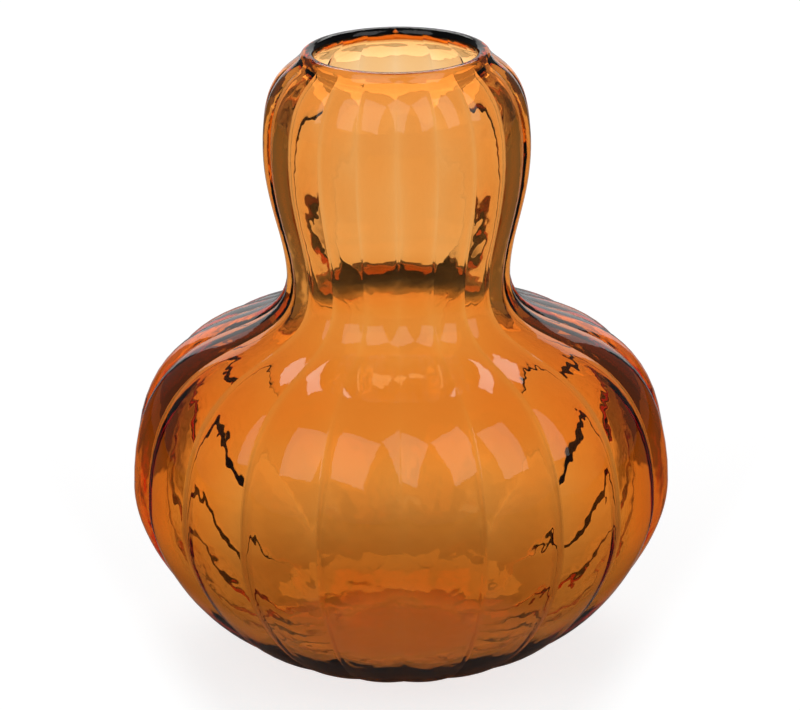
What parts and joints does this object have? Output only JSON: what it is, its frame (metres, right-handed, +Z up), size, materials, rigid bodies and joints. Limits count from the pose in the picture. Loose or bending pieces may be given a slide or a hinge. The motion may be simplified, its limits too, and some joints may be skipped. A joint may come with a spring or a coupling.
{
  "type": "gourd vase",
  "caption": "Gourd-shaped vase of transparent amber glass: wide lobed belly, narrow waist, smaller upper bulb and a round open mouth, for holding cut flowers.",
  "frame": {"origin": "centre of the foot, on the surface that the vase stands on", "axes": "+Z up along the axis of the vase, -Y toward the viewer of the picture, +X to that viewer's right"},
  "size_m": [0.1884, 0.1884, 0.219],
  "materials": {
    "amber_glass": "clear polished amber glass, slightly wavy"
  },
  "bodies": {
    "root": {"glass_vessel": "amber_glass"}
  },
  "joints": []
}
